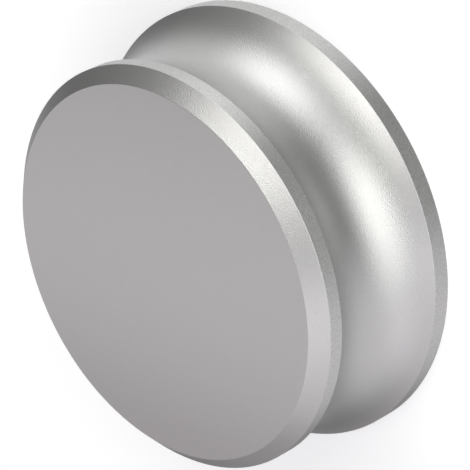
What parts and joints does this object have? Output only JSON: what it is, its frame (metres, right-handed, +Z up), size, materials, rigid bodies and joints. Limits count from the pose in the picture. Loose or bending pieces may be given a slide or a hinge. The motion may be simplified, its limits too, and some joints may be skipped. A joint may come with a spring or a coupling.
{
  "type": "record weight",
  "caption": "Round turned aluminium record weight: chamfered top, shallow finger groove round the waist, wider base and a blind spindle bore underneath.",
  "frame": {"origin": "centre of the base, on the plane that rests on the record", "axes": "+Z up along the turning axis, from the base to the top face; X and Y across, with nothing to tell them apart"},
  "size_m": [0.076, 0.076, 0.0271],
  "materials": {
    "anodised_aluminium": "bead-blasted and clear anodised, satin"
  },
  "bodies": {
    "root": {"weight_body": "anodised_aluminium"}
  },
  "joints": []
}
